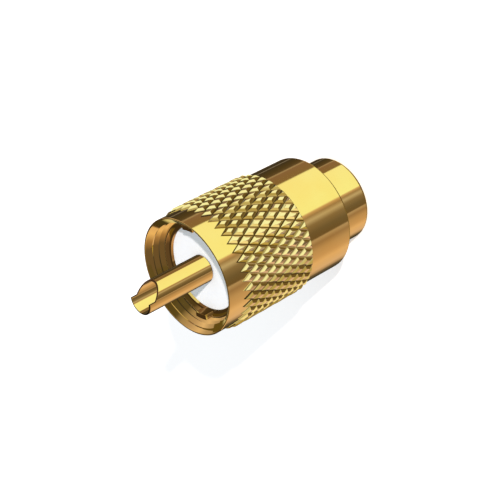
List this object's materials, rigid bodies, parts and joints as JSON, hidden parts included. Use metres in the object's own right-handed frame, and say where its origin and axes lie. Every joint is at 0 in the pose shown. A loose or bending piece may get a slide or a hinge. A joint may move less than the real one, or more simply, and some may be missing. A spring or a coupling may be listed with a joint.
{
  "type": "uhf cable plug",
  "caption": "Straight gold-plated coaxial plug with a diamond-knurled coupling nut, white insulator and hollow centre pin.",
  "frame": {"origin": "centre of the barrel's rear face, which the plug stands on", "axes": "+Z along the plug's axis towards the contact pin; +X to the side of the pin's solder opening and of one locating tooth"},
  "size_m": [0.018, 0.018, 0.0374],
  "materials": {
    "gold_nut": "polished gold plating on brass",
    "gold_body": "polished gold plating on brass",
    "white_insulator": "smooth white fluoropolymer",
    "gold_pin": "polished gold plating on brass",
    "spring_bronze": "plain bronze"
  },
  "bodies": {
    "plug": {"plug_body": "gold_body", "insulator": "white_insulator", "centre_pin": "gold_pin", "retaining_ring": "spring_bronze"},
    "slider": {"thrust_washer": "spring_bronze"},
    "nut": {"coupling_nut": "gold_nut"}
  },
  "joints": [
    {"name": "nut_slide", "type": "slide", "parent": "plug", "child": "slider", "axis": [0, 0, 1], "range_m": [0, 0.0071]},
    {"name": "nut_spin", "type": "hinge", "parent": "slider", "child": "nut", "pos_m": [0, 0, 0.018], "axis": [0, 0, 1], "continuous": true}
  ]
}
